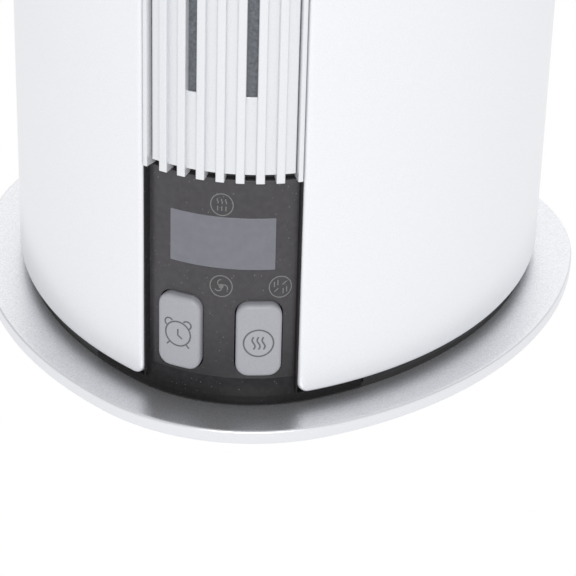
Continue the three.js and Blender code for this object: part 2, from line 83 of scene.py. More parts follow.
# Front. FRONT_SHIFT is how far its pieces stand beside the middle, along the outline.
BEZEL_HALF_S = 28
BEZEL_BACK = -5.6
# A black sheet behind the buttons: painted shade in the gaps round them
GAP_SHADE_HALF_S = 23
GAP_SHADE_HEIGHTS = (14, 46)
GAP_SHADE_OFFSETS = (-7.6, -7.9)
GRILLE_HALF_S = 24
FRONT_SHIFT = -0.4
OPENING_S = 24.7
PANEL_INSET = 3.2
PANEL_TOP = 81.7
GROOVE_INSET = 1.8
RIB_PITCH = 5.85
RIB_WIDTH = 2.6
GRILLE_TOP = 520
LONG_SLOT_BOTTOM = 108.6
OUTLET_BOTTOM = 150
OUTLET_TOP = 480
BUTTON_S = 12.5
BUTTON_Z = 29.5
BUTTON_SIZE = (14.2, 24.4)
BUTTON_FACE = -0.9
DISPLAY_HALF_S = NOSE_RADIUS * math.radians(18.6)
DISPLAY_BOTTOM = 52.4
DISPLAY_TOP = 69.4
LIP_HALF_S = 46.2
LIP_TOP = 10.45
FLARE_TOP = 15.4
FLARE_REACH = 1.75

# Back
COVER_HALF_S = 38.5
COVER = (-0.4, -2.9)
COVER_TOP = 484
INTAKE = {"half": 28, "bottom": 130, "top": 470}
SLAT_HALF_S = 25
SLAT_PITCH = 9.2
RAIL = 4
ROCKER = {"half": 10, "bottom": 62, "top": 76, "inner": 83, "face": 90.4, "play": 1.2}
HANDLE = {"half": 32, "bottom": 492, "top": 520}
BEHIND = (60, 100)

SMOOTH_ANGLE = math.radians(38)


# Camera

def make_camera():
    """The camera stands in front, a little to the right, and looks down on the foot and the lowest panel."""
    azimuth = math.radians(8.72)
    elevation = math.radians(30.08)
    target = Vector((9.75, -20.8, SHELL_BOTTOM - 1)) * MM
    level = math.cos(elevation)
    back = Vector((math.sin(azimuth) * level, -math.cos(azimuth) * level, math.sin(elevation)))
    data = bpy.data.cameras.new("camera")
    data.lens = 163.7
    data.sensor_width = 36
    data.clip_start = 0.01
    camera = bpy.data.objects.new("camera", data)
    bpy.context.scene.collection.objects.link(camera)
    camera.location = target + back * 0.8357
    camera.rotation_mode = "QUATERNION"
    roll = Matrix.Rotation(math.radians(1.63), 3, "Z").to_quaternion()
    camera.rotation_quaternion = (-back).to_track_quat("-Z", "Y") @ roll
    bpy.context.scene.camera = camera


# Outline

def make_arcs():
    """The half outline's arcs as (start length, centre, radius, start angle), and half its length."""
    sines = 0
    start = 0
    for radius, end in ARC_ENDS:
        end = math.radians(end)
        sines += radius * (math.sin(end) - math.sin(start))
        start = end
    back_radius = sines / math.sin(LAST)
    ends = [(r, math.radians(e)) for r, e in ARC_ENDS] + [(back_radius, math.pi)]
    arcs = []
    x = y = length = start = 0
    for radius, end in ends:
        centre = (x - radius * math.sin(start), y + radius * math.cos(start))
        arcs.append((length, centre, radius, start))
        length += radius * (end - start)
        x = centre[0] + radius * math.sin(end)
        y = centre[1] - radius * math.cos(end)
        start = end
    depth = y
    arcs = [(s, (c[0], c[1] - depth / 2), r, t) for s, c, r, t in arcs]
    return arcs, length


ARCS, HALF = make_arcs()


def on_outline(s, z, offset=0.0):
    """The point s along the outline from the nose, at height z, moved outwards by offset."""
    if s > HALF:
        s -= 2 * HALF
    side = -1 if s < 0 else 1
    s = abs(s)
    start, centre, radius, angle = [arc for arc in ARCS if arc[0] <= s + 1e-9][-1]
    angle += (s - start) / radius
    reach = radius + offset
    return Vector((side * (centre[0] + reach * math.sin(angle)), centre[1] - reach * math.cos(angle), z)) * MM


def spread(low, high, step):
    """Even places from low to high, at most a step apart"""
    count = max(1, math.ceil((high - low) / step))
    return [low + (high - low) * i / count for i in range(count + 1)]


# Meshes

def finish_mesh(name, bm, material, smooth=True):
    """Turns the bmesh into a shaded object in the scene."""
    bmesh.ops.remove_doubles(bm, verts=bm.verts, dist=1e-7)
    bmesh.ops.recalc_face_normals(bm, faces=bm.faces)
    mesh = bpy.data.meshes.new(name)
    bm.to_mesh(mesh)
    bm.free()
    shade(mesh, smooth)
    if material:
        mesh.materials.append(material)
    piece = bpy.data.objects.new(name, mesh)
    bpy.context.scene.collection.objects.link(piece)
    return piece


def shade(mesh, smooth=True):
    """Smooth shading, with sharp edges kept"""
    mesh.polygons.foreach_set("use_smooth", [smooth] * len(mesh.polygons))
    if smooth:
        mesh.set_sharp_from_angle(angle=SMOOTH_ANGLE)


def edge_layers(outer, inner, edge, steps=4):
    """(inset, offset) pairs from the outer face, round its rim, down to the inner face"""
    if not edge:
        return [(0, outer), (0, inner)]
    layers = [(edge * 1.6, outer)]
    for i in range(steps + 1):
        a = math.pi / 2 * i / steps
        layers.append((edge * (1 - math.sin(a)), outer - edge * (1 - math.cos(a))))
    return layers + [(0, inner)]


def panel(name, s_range, z_range, offsets, material, corner=1.0, edge=0.4, step=1.5):
    """A piece of wall along the outline. Corner rounds its face's corners, and edge rounds its outer rim."""
    bm = bmesh.new()
    (s0, s1), (z0, z1) = s_range, z_range
    quarter = [math.pi / 2 * i / 6 for i in range(7)]
    middle = spread(0, 1, step / (s1 - s0))[1:-1]
    loops = []
    for inset, offset in edge_layers(*offsets, edge):
        c = max(corner - inset, 0.02)
        low, high = s0 + inset, s1 - inset
        columns = [(low + c * (1 - math.cos(b)), c * (1 - math.sin(b))) for b in quarter]
        columns += [(low + c + (high - low - 2 * c) * m, 0) for m in middle]
        columns += [(high - c * (1 - math.cos(b)), c * (1 - math.sin(b))) for b in reversed(quarter)]
        bottom = [bm.verts.new(on_outline(s, z0 + inset + d, offset)) for s, d in columns]
        top = [bm.verts.new(on_outline(s, z1 - inset - d, offset)) for s, d in columns]
        loops.append((bottom, top))
    for (b0, t0), (b1, t1) in zip(loops, loops[1:]):
        for row0, row1 in ((b0, b1), (t0, t1)):
            for i in range(len(row0) - 1):
                bm.faces.new((row0[i], row0[i + 1], row1[i + 1], row1[i]))
        for i in (0, -1):
            bm.faces.new((b0[i], t0[i], t1[i], b1[i]))
    for bottom, top in (loops[0], loops[-1]):
        for i in range(len(bottom) - 1):
            bm.faces.new((bottom[i], bottom[i + 1], top[i + 1], top[i]))
    return finish_mesh(name, bm, material)


def sweep(name, profile, s_range, material, step=1.5):
    """Carries a closed profile of (offset, height) points along a part of the outline."""
    bm = bmesh.new()
    rings = [[bm.verts.new(on_outline(s, z, o)) for o, z in profile] for s in spread(*s_range, step)]
    for a, b in zip(rings, rings[1:]):
        for i in range(len(profile)):
            j = (i + 1) % len(profile)
            bm.faces.new((a[i], a[j], b[j], b[i]))
    bm.faces.new(rings[0])
    bm.faces.new(rings[-1])
    return finish_mesh(name, bm, material)


def dish(name, profile, material, step=1.5):
    """Carries an open profile right round the outline, and closes it across at both ends."""
    bm = bmesh.new()
    places = spread(-HALF, HALF, step)[:-1]
    rings = [[bm.verts.new(on_outline(s, z, o)) for s in places] for o, z in profile]
    for a, b in zip(rings, rings[1:]):
        for i in range(len(places)):
            j = (i + 1) % len(places)
            bm.faces.new((a[i], a[j], b[j], b[i]))
    bm.faces.new(rings[0])
    bm.faces.new(rings[-1])
    return finish_mesh(name, bm, material)


def turned(name, profile, material, centre=(0, 0, 0), axis="Z", sides=64):
    """Turns a profile of (radius, height) points, which starts and ends on the axis, about an axis."""
    bm = bmesh.new()
    rings = []
    for r, z in profile:
        angles = [2 * math.pi * i / sides for i in range(sides)]
        rings.append([bm.verts.new(Vector((r * math.cos(a), r * math.sin(a), z)) * MM) for a in angles])
    for a, b in zip(rings, rings[1:]):
        for i in range(sides):
            j = (i + 1) % sides
            bm.faces.new((a[i], a[j], b[j], b[i]))
    bm.faces.new(rings[0])
    bm.faces.new(rings[-1])
    if axis == "Y":
        bmesh.ops.rotate(bm, verts=bm.verts, matrix=Matrix.Rotation(math.radians(-90), 3, "X"))
    bmesh.ops.translate(bm, verts=bm.verts, vec=Vector(centre) * MM)
    return finish_mesh(name, bm, material)


def block(name, low, high, material, radius=0.6):
    """A box between two corners with rounded edges"""
    bm = bmesh.new()
    bmesh.ops.create_cube(bm, size=1)
    low, high = Vector(low) * MM, Vector(high) * MM
    bmesh.ops.scale(bm, verts=bm.verts, vec=high - low)
    bmesh.ops.translate(bm, verts=bm.verts, vec=(high + low) / 2)
    if radius:
        bmesh.ops.bevel(bm, geom=bm.edges, offset=radius * MM, segments=4, profile=0.5, affect="EDGES")
    return finish_mesh(name, bm, material)


def join(name, pieces):
    """One piece from several of the same material"""
    bm = bmesh.new()
    for piece in pieces:
        bm.from_mesh(piece.data)
    mesh = pieces[0].data.copy()
    bm.to_mesh(mesh)
    bm.free()
    shade(mesh)
    for piece in pieces:
        bpy.data.objects.remove(piece)
    joined = bpy.data.objects.new(name, mesh)
    bpy.context.scene.collection.objects.link(joined)
    return joined


def cut(piece, cutters):
    """Cuts the cutters out of the piece and removes them."""
    for cutter in cutters:
        modifier = piece.modifiers.new("cut", "BOOLEAN")
        modifier.operation = "DIFFERENCE"
        modifier.solver = "EXACT"
        modifier.object = cutter
    bpy.context.view_layer.update()
    evaluated = piece.evaluated_get(bpy.context.evaluated_depsgraph_get())
    mesh = bpy.data.meshes.new_from_object(evaluated)
    piece.modifiers.clear()
    piece.data = mesh
    shade(mesh)
    for cutter in cutters:
        bpy.data.objects.remove(cutter)
    return piece


def printed(name, strokes, centre, offset, width, material):
    """Thin printed strokes on the wall. A stroke is (points, closed), in millimetres from the centre."""
    bm = bmesh.new()
    for points, closed in strokes:
        count = len(points)
        sides = []
        for i, (u, v) in enumerate(points):
            before = points[i - 1] if closed or i else points[0]
            after = points[(i + 1) % count] if closed or i + 1 < count else points[-1]
            du, dv = after[0] - before[0], after[1] - before[1]
            long = math.hypot(du, dv) or 1
            nu, nv = -dv / long * width / 2, du / long * width / 2
            ring = []
            for sign, lift in ((1, 0.03), (-1, 0.03), (-1, -0.1), (1, -0.1)):
                place = (centre[0] + u + sign * nu, centre[1] + v + sign * nv)
                ring.append(bm.verts.new(on_outline(place[0], place[1], offset + lift)))
            sides.append(ring)
        pairs = list(zip(sides, sides[1:]))
        if closed:
            pairs.append((sides[-1], sides[0]))
        else:
            bm.faces.new(sides[0])
            bm.faces.new(sides[-1])
        for a, b in pairs:
            for i in range(4):
                j = (i + 1) % 4
                bm.faces.new((a[i], a[j], b[j], b[i]))
    return finish_mesh(name, bm, material, smooth=False)


def arc(radius, start=0, end=360, centre=(0, 0), steps=40):
    """A stroke along a circle's arc, or round all of it"""
    full = end - start >= 360
    count = steps if full else steps + 1
    angles = [math.radians(start + (end - start) * i / steps) for i in range(count)]
    return [(centre[0] + radius * math.cos(a), centre[1] + radius * math.sin(a)) for a in angles], full


def line(*points):
    """A stroke through the points"""
    return list(points), False


def wave(x, height, swing=0.35, steps=14):
    """An upright wavy stroke"""
    places = [i / steps for i in range(steps + 1)]
    return [(x + swing * math.sin(2 * math.pi * t), height * (t - 0.5)) for t in places], False


# Materials

def material(name, colour, roughness, metallic=0.0, coat=0.0, speckle=(2500, 0.06), grain=(1800, 0.05),
             dust=0.0, specular=0.5, painted_shade_below=None):
    """Speckle is (scale, share) of the colour's fine variation, grain is (scale, strength) of the relief.
    Below the last argument's height, in millimetres, the colour darkens towards the floor: painted shade at
    the tower's foot."""
    made = bpy.data.materials.new(name)
    made.use_nodes = True
    nodes, links = made.node_tree.nodes, made.node_tree.links
    shader = nodes["Principled BSDF"]
    shader.inputs["Metallic"].default_value = metallic
    shader.inputs["Specular IOR Level"].default_value = specular
    shader.inputs["Coat Weight"].default_value = coat
    shader.inputs["Coat Roughness"].default_value = 0.15
    where = nodes.new("ShaderNodeTexCoord").outputs["Object"]

    fine = noise(nodes, links, where, speckle[0], 3)
    broad = noise(nodes, links, where, 25, 3)
    shade_by = nodes.new("ShaderNodeMapRange")
    shade_by.inputs["From Min"].default_value = 0.3
    shade_by.inputs["From Max"].default_value = 0.7
    shade_by.inputs["To Min"].default_value = 1 - speckle[1]
    shade_by.inputs["To Max"].default_value = 1 + speckle[1]
    links.new(fine, shade_by.inputs["Value"])
    tint = nodes.new("ShaderNodeMix")
    tint.data_type = "RGBA"
    tint.blend_type = "MULTIPLY"
    tint.inputs["Factor"].default_value = 1
    tint.inputs["A"].default_value = (*colour, 1)
    links.new(shade_by.outputs["Result"], tint.inputs["B"])
    result = tint.outputs["Result"]
    if dust:
        result = add_dust(nodes, links, where, result, dust)
    # Painted shade: the colour darkens towards the tower's foot
    if painted_shade_below:
        result = add_painted_foot_shade(nodes, links, where, result, painted_shade_below)
    links.new(result, shader.inputs["Base Color"])

    rough = nodes.new("ShaderNodeMapRange")
    rough.inputs["To Min"].default_value = max(0.02, roughness - 0.05)
    rough.inputs["To Max"].default_value = min(1, roughness + 0.05)
    links.new(broad, rough.inputs["Value"])
    links.new(rough.outputs["Result"], shader.inputs["Roughness"])

    bump = nodes.new("ShaderNodeBump")
    bump.inputs["Strength"].default_value = grain[1]
    bump.inputs["Distance"].default_value = 0.0002
    links.new(noise(nodes, links, where, grain[0], 2), bump.inputs["Height"])
    links.new(bump.outputs["Normal"], shader.inputs["Normal"])
    return made


def noise(nodes, links, where, scale, detail):
    """A noise texture's value, in the object's own coordinates"""
    node = nodes.new("ShaderNodeTexNoise")
    node.inputs["Scale"].default_value = scale
    node.inputs["Detail"].default_value = detail
    links.new(where, node.inputs["Vector"])
    return node.outputs["Fac"]


def add_dust(nodes, links, where, colour, amount):
    """Scattered light specks over a dark surface"""
    cells = nodes.new("ShaderNodeTexVoronoi")
    cells.inputs["Scale"].default_value = 650
    links.new(where, cells.inputs["Vector"])
    size = noise(nodes, links, where, 900, 1)
    limit = nodes.new("ShaderNodeMath")
    limit.operation = "MULTIPLY"
    limit.inputs[1].default_value = 0.2
    links.new(size, limit.inputs[0])
    speck = nodes.new("ShaderNodeMath")
    speck.operation = "LESS_THAN"
    links.new(cells.outputs["Distance"], speck.inputs[0])
    links.new(limit.outputs[0], speck.inputs[1])
    strength = nodes.new("ShaderNodeMath")
    strength.operation = "MULTIPLY"
    strength.inputs[1].default_value = amount
    links.new(speck.outputs[0], strength.inputs[0])
    mix = nodes.new("ShaderNodeMix")
    mix.data_type = "RGBA"
    links.new(strength.outputs[0], mix.inputs["Factor"])
    links.new(colour, mix.inputs["A"])
    mix.inputs["B"].default_value = (0.45, 0.44, 0.42, 1)
    return mix.outputs["Result"]


def add_painted_foot_shade(nodes, links, where, colour, height):
    """Painted shade: the colour falls to a third at the tower's foot."""
    split = nodes.new("ShaderNodeSeparateXYZ")
    links.new(where, split.inputs["Vector"])
    share = nodes.new("ShaderNodeMapRange")
    share.interpolation_type = "SMOOTHSTEP"
    share.inputs["From Min"].default_value = CORE_BOTTOM * MM
    share.inputs["From Max"].default_value = height * MM
    share.inputs["To Min"].default_value = 0.33
    links.new(split.outputs["Z"], share.inputs["Value"])
    mix = nodes.new("ShaderNodeMix")
    mix.data_type = "RGBA"
    mix.blend_type = "MULTIPLY"
    mix.inputs["Factor"].default_value = 1
    links.new(colour, mix.inputs["A"])
    links.new(share.outputs["Result"], mix.inputs["B"])
    return mix.outputs["Result"]


LOOKS = {
    "shell_silver": material("shell_silver", (0.83, 0.84, 0.87), 0.36, 0.45, 0.1, (2600, 0.03), (1500, 0.04)),
    # A darker copy of the shell silver for the grille: painted shade among its ribs
    "grille_shaded_silver": material("grille_shaded_silver", (0.75, 0.76, 0.785), 0.36, 0.4, 0.1, (2600, 0.03),
                              (1500, 0.04)),
    "foot_silver": material("foot_silver", (0.85, 0.86, 0.89), 0.33, 0.85, 0, (2200, 0.11), (2600, 0.4)),
    "foot_edge": material("foot_edge", (0.78, 0.79, 0.82), 0.35, 0.7, 0, (2600, 0.03), (1500, 0.04)),
    # The panel's charcoal darkens below 42 mm: painted shade towards its foot
    "charcoal_gloss": material("charcoal_gloss", (0.052, 0.049, 0.054), 0.3, 0, 0, (500, 0.12), (900, 0.06),
                               0.25, 0.35, 42),
    # A darker copy of the panel's charcoal: painted shade for the panel's foot and side strips, darkening
    # further below the flare's top. The top inlay takes it too.
    "charcoal_painted_shade": material("charcoal_painted_shade", (0.022, 0.021, 0.023), 0.42, 0, 0, (700, 0.2), (1000, 0.12),
                              0.2, 0.12, FLARE_TOP),
    "charcoal_matte": material("charcoal_matte", (0.035, 0.034, 0.034), 0.5, 0, 0, (900, 0.15), (1100, 0.25)),
    "button_grey": material("button_grey", (0.345, 0.35, 0.38), 0.42, 0, 0, (1800, 0.04), (1500, 0.08)),
    "display_glass": material("display_glass", (0.15, 0.153, 0.178), 0.16, 0, 0.3, (300, 0.05), (700, 0.02),
                              0.06),
    "black_plastic": material("black_plastic", (0.012, 0.012, 0.013), 0.5, 0, 0, (900, 0.2), (1100, 0.2)),
    "white_plastic": material("white_plastic", (0.7, 0.7, 0.67), 0.5, 0, 0, (900, 0.04), (1100, 0.1)),
    "circuit_board": material("circuit_board", (0.02, 0.1, 0.045), 0.35, 0, 0.3, (300, 0.4), (700, 0.2)),
    "steel": material("steel", (0.5, 0.51, 0.52), 0.32, 1, 0, (800, 0.08), (600, 0.1)),
    "dark_steel": material("dark_steel", (0.05, 0.052, 0.055), 0.42, 0.3, 0, (900, 0.15), (900, 0.15)),
    "heater_fins": material("heater_fins", (0.6, 0.61, 0.62), 0.35, 0.9, 0, (700, 0.12), (500, 0.2)),
    "brass": material("brass", (0.6, 0.42, 0.16), 0.35, 1, 0, (900, 0.1), (700, 0.1)),
    "rubber": material("rubber", (0.018, 0.018, 0.018), 0.8, 0, 0, (700, 0.2), (900, 0.3)),
    "foam": material("foam", (0.03, 0.03, 0.034), 0.95, 0, 0, (450, 0.5), (450, 0.9)),
}
INK_DARK = material("ink_dark", (0.11, 0.112, 0.12), 0.5, 0, 0, (2000, 0.1), (1500, 0.05))
INK_LIGHT = material("ink_light", (0.17, 0.168, 0.165), 0.5, 0, 0, (2000, 0.1), (1500, 0.05))
GAUZE = material("gauze", (0.12, 0.13, 0.145), 0.5, 0.2, 0, (1200, 0.3), (1200, 0.4))


def place(piece, body, slot, *nodes):
    """The piece rides on the body and stands for the CAD nodes, which it hides. The slot is not used."""
    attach(piece, body)
    if nodes:
        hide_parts(*nodes)
    return piece


# Foot

def make_foot():
    """The foot plate, with a grained top and a smoother rounded rim, and the boss that the tower turns on"""
    r = 0.7
    quarter = [math.pi / 2 * i / 6 for i in range(7)]
    under = [(MIDDLE, RECESS_TOP), (BASE_REACH - BASE_RIM, RECESS_TOP), (BASE_REACH - BASE_RIM, BASE_BOTTOM),
             (BASE_REACH - 0.5, BASE_BOTTOM), (BASE_REACH - 0.1, BASE_BOTTOM + 0.4),
             (BASE_REACH, BASE_BOTTOM + 0.8)]
    rim = [(BASE_REACH - r * (1 - math.cos(a)), BASE_TOP - r + r * math.sin(a)) for a in quarter]
    top = [(BASE_REACH - 2 * r, BASE_TOP), (BASE_REACH - 6, BASE_TOP), (-12, BASE_TOP), (MIDDLE, BASE_TOP)]
    look = LOOKS["foot_silver"]
    plate = dish("foot_plate", under + rim + top, look)
    plate.data.materials.append(LOOKS["foot_edge"])
    for face in plate.data.polygons:
        face.material_index = 0 if face.normal.z > 0.9 else 1
    place(plate, "base", "foot_silver", "base_plate")
    profile = [(0.01, 6.6), (BOSS_RADIUS, 6.6), (BOSS_RADIUS, BOSS_TOP - 0.6), (BOSS_RADIUS - 0.6, BOSS_TOP),
               (0.01, BOSS_TOP)]
    place(turned("foot_boss", profile, look), "base", "foot_silver")


# Tower walls

def make_shells():
    """The two silver shells, with round corners and soft edges"""
    look = LOOKS["shell_silver"]
    back = HALF - BACK_OPENING_S
    edges = (("left", (-back, FRONT_SHIFT - OPENING_S)), ("right", (FRONT_SHIFT + OPENING_S, back)))
    for name, s_range in edges:
        heights = (SHELL_BOTTOM, SHELL_TOP)
        shell = panel(name + "_shell_skin", s_range, heights, (0, -SHELL_WALL), look, 3.5, 1.2)
        place(shell, "tower", "shell_silver", name + "_shell")


def make_skirt():
    """The dark bottom of the tower below the shells, and the felt ring that closes the gap under it"""
    felt = [(-2.2, 6.6), (-2.2, 8.4), (-3.4, 8.4), (-3.4, 6.6)]
    for name, s_range in (("front", (-47, 47)), ("back", (46.9, 2 * HALF - 46.9))):
        place(sweep("felt_ring_" + name, felt, s_range, LOOKS["rubber"]), "tower", "rubber")
    profile = [(-1.9, 8.5), (-1.9, 10.5), (-2.9, 10.5), (-2.9, 8.3), (-2.1, 8.3)]
    skirt = sweep("tower_skirt", profile, (47.2, 2 * HALF - 47.2), LOOKS["black_plastic"])
    place(skirt, "tower", "black_plastic")


def make_bezel():
    """The dark panel with its holes, a black sheet behind the buttons as painted shade in their gaps, and the
    panel's sides and foot
    """
    look = LOOKS["charcoal_gloss"]
    offsets = (-PANEL_INSET, BEZEL_BACK)
    wall = panel("bezel_wall", (-BEZEL_HALF_S, BEZEL_HALF_S), (9, PANEL_TOP), offsets, look, 0.5, 0.3, 0.7)
    holes = [display_panel("hole", 8, -9, 0.03, None, 0)]
    holes += [button_panel("hole", side, 8, -9, 0.5, None, 0) for side in (-1, 1)]
    place(cut(wall, holes), "tower", "charcoal_gloss", "front_bezel")
    # A black sheet behind the buttons stands for the shade in the gaps round them
    s_range = (-GAP_SHADE_HALF_S, GAP_SHADE_HALF_S)
    gap_shade = panel("key_gap_shade", s_range, GAP_SHADE_HEIGHTS, GAP_SHADE_OFFSETS, LOOKS["black_plastic"], 0.5, 0.1)
    place(gap_shade, "tower", "black_plastic")
    make_bezel_sides()
    make_bezel_foot()


def make_bezel_sides():
    """Thin strips between the panel and the shells, in the darker charcoal copy as painted shade along the
    panel's sides
    """
    for name, side in (("left", -1), ("right", 1)):
        s = side * (OPENING_S - 0.25) + FRONT_SHIFT
        flange = panel("bezel_side_" + name, (s - 0.3, s + 0.3), (10.6, PANEL_TOP), (-1.0, -5),
                       LOOKS["charcoal_painted_shade"], 0.25, 0.15, 0.3)
        place(flange, "tower", "charcoal_gloss")


def make_bezel_foot():
    """The lip over the foot, and the curve that leads out to it from the panel, in the darker charcoal copy
    as painted shade that deepens towards the foot
    """
    look = LOOKS["charcoal_painted_shade"]
    lip = [(-1.4, 7.6), (-1.4, 9.9), (-1.6, 10.3), (-2.0, LIP_TOP), (-5.4, LIP_TOP), (-5.4, CORE_BOTTOM),
           (-1.7, CORE_BOTTOM), (-1.5, 7.4)]
    place(sweep("bezel_lip", lip, (-LIP_HALF_S, LIP_HALF_S), look, 1), "tower", "charcoal_gloss")

    steps = 8
    drop = FLARE_TOP - 10.3
    places = [i / steps for i in range(steps + 1)]
    curve = [(-PANEL_INSET + FLARE_REACH * t ** 2, FLARE_TOP - drop * t) for t in places]
    flare = [(-PANEL_INSET - 0.4, FLARE_TOP), *curve, (-PANEL_INSET - 0.4, FLARE_TOP - drop)]
    reach = OPENING_S - 0.4
    flare_piece = sweep("bezel_flare", flare, (FRONT_SHIFT - reach, FRONT_SHIFT + reach), look, 0.8)
    place(flare_piece, "tower", "charcoal_gloss")


def display_panel(name, outer, inner, margin, look, edge):
    """The display window's shape, grown by a margin"""
    half = DISPLAY_HALF_S + margin
    heights = (DISPLAY_BOTTOM - margin, DISPLAY_TOP + margin)
    return panel(name, (-half, half), heights, (outer, inner), look, 0.25, edge, 0.7)


def button_panel(name, side, outer, inner, margin, look, edge):
    """A button's shape on the left (-1) or right (1), grown by a margin"""
    half_width = BUTTON_SIZE[0] / 2 + margin
    half_height = BUTTON_SIZE[1] / 2 + margin
    s = side * BUTTON_S + FRONT_SHIFT
    heights = (BUTTON_Z - half_height, BUTTON_Z + half_height)
    return panel(name, (s - half_width, s + half_width), heights, (outer, inner), look, 4 + margin, edge, 0.7)


def make_grille():
    """Ribs with closed grooves between them, open where the outlet is, over a gauze and a black backing,
    which is the dark inside and painted shade in the notches at the groove ends
    """
    # The grille takes the darker copy of the shell silver, painted shade among the ribs
    look = LOOKS["grille_shaded_silver"]
    bottom = PANEL_TOP + GAP
    bars = []
    for i in range(-3, 4):
        s = i * RIB_PITCH + FRONT_SHIFT / 2
        bars.append(rib(s - RIB_WIDTH / 2, s + RIB_WIDTH / 2, bottom, look))
    for side in (-1, 1):
        s = side * (OPENING_S - 1.1) + FRONT_SHIFT
        bars.append(rib(s - 0.75, s + 0.75, bottom, look))
    for i in range(8):
        s = (i - 3.5) * RIB_PITCH + FRONT_SHIFT / 2
        half = (RIB_PITCH - RIB_WIDTH) / 2 + 0.15
        slot_bottom = LONG_SLOT_BOTTOM if i in (2, 5) else OUTLET_BOTTOM
        for low, high in ((bottom + 2.2, slot_bottom), (OUTLET_TOP, GRILLE_TOP)):
            offsets = (-GROOVE_INSET, -2.3)
            bars.append(panel("bar", (s - half, s + half), (low, high), offsets, look, 0.05, 0.15, 1))
    grille = join("ribbed_grille", bars)
    place(grille, "tower", "shell_silver", "front_grille")
    s_range = (-GRILLE_HALF_S, GRILLE_HALF_S)
    gauze = panel("outlet_gauze", s_range, (bottom + 4, GRILLE_TOP - 1), (-2.45, -2.8), GAUZE, 0.5, 0.1, 1)
    place(gauze, "tower", "dark_steel")
    # The black backing is the dark inside behind the outlet, and painted shade in the notches at the groove
    # ends
    backing_and_shade = panel("grille_backing_and_shade", s_range, (bottom, GRILLE_TOP - 1), (-4.6, -5), LOOKS["black_plastic"],
                    0.5, 0.1)
    place(backing_and_shade, "tower", "black_plastic")


def rib(s0, s1, bottom, look):
    """One upright bar of the grille"""
    return panel("bar", (s0, s1), (bottom, GRILLE_TOP), (-0.1, -4.4), look, 0.25, 0.45, 0.6)


def make_top():
    """The rounded cap with its dark inlay, and the piece that closes the front above the grille"""
    look = LOOKS["shell_silver"]
    r = 4
    low = SHELL_TOP + 0.4
    high = HEIGHT - 1
    crown = [(-r * (1 - math.cos(a)), high - r + r * math.sin(a))
             for a in (math.pi / 2 * i / 8 for i in range(9))]
    profile = [(-20, low), (-0.5, low), (0, low + 0.5), *crown, (-5, high), (-11.6, high), (-12, high - 0.4),
               (-12, high - 2.6), (MIDDLE, high - 2.6)]
    place(dish("crown", profile, look), "tower", "shell_silver", "top_cap")
    inlay = [(MIDDLE, high - 2.4), (-12.3, high - 2.4), (-12.3, HEIGHT - 0.6), (-12.9, HEIGHT),
             (-13.6, HEIGHT), (MIDDLE, HEIGHT)]
    place(dish("crown_inlay", inlay, LOOKS["charcoal_painted_shade"]), "tower", "charcoal_gloss", "top_inlay")
    reach = OPENING_S - GAP
    s_range = (FRONT_SHIFT - reach, FRONT_SHIFT + reach)
    heights = (GRILLE_TOP + GAP, SHELL_TOP - GAP)
    head = panel("head_strip", s_range, heights, (-0.2, BEZEL_BACK), look, 0.5, 0.6, 1)
    place(head, "tower", "shell_silver", "front_head")


# Controls

def make_controls():
    """The display window, and the two buttons with their signs"""
    window = display_panel("window", -PANEL_INSET + 0.05, -4.7, 0, LOOKS["display_glass"], 0.15)
    place(window, "tower", "display_glass", "display_window")
    for name, body, side in (("timer", "timer_key", -1), ("heat", "heat_key", 1)):
        key = button_panel(name + "_key_cap", side, BUTTON_FACE, -6.4, 0, LOOKS["button_grey"], 1.3)
        place(key, body, "button_grey", name + "_button")
    clock = [arc(4.1), ([(0, 1.6), (0, -0.5), (1.4, -1.5)], False),
             arc(1.35, 35, 235, (-2.95, 3.4), 14), arc(1.35, -55, 145, (2.95, 3.4), 14),
             line((-2.7, -3.2), (-3.7, -4.3)), line((2.7, -3.2), (3.7, -4.3))]
    icon = printed("timer_icon", clock, (-BUTTON_S - 0.4, 29.2), BUTTON_FACE, 0.5, INK_DARK)
    place(icon, "timer_key", "button_grey")
    warmth = [arc(4.5)] + [wave(x, 4.2, 0.45) for x in (-1.5, 0, 1.5)]
    icon = printed("heat_icon", warmth, (BUTTON_S - 0.5, 29.0), BUTTON_FACE, 0.5, INK_DARK)
    place(icon, "heat_key", "button_grey")


def make_indicators():
    """Three small printed rings with generic signs: warmth levels, a fan, and bars beside a slash"""
    rows = [wave(x, 1.6, 0.2, 8) for x in (-1.3, 0, 1.3)]
    levels = [([(u, v + 1.1) for u, v in points], closed) for points, closed in rows]
    levels += [line((x, -2.0), (x, -0.5)) for x in (-1.3, 0, 1.3)]
    blade = 1.1
    fan = [arc(0.6)]
    for a in (90, 210, 330):
        centre = (blade * math.cos(math.radians(a)), blade * math.sin(math.radians(a)))
        fan.append(arc(blade, a, a + 200, centre, 10))
    swing = [line((-1.9, -1.6), (1.9, 1.8))]
    for x, y in ((-1.9, 0.9), (-0.8, 1.5), (0.9, -1.4), (2.0, -0.9)):
        swing.append(line((x, y - 0.9), (x, y + 0.9)))
    places = (("levels", levels, (0, 73.4)), ("fan", fan, (0.1, 46.5)), ("swing", swing, (18.6, 46.6)))
    for name, signs, centre in places:
        ring = printed(name + "_mark", [arc(3.5)] + signs, centre, -PANEL_INSET, 0.32, INK_LIGHT)
        place(ring, "tower", "charcoal_gloss")


# Back

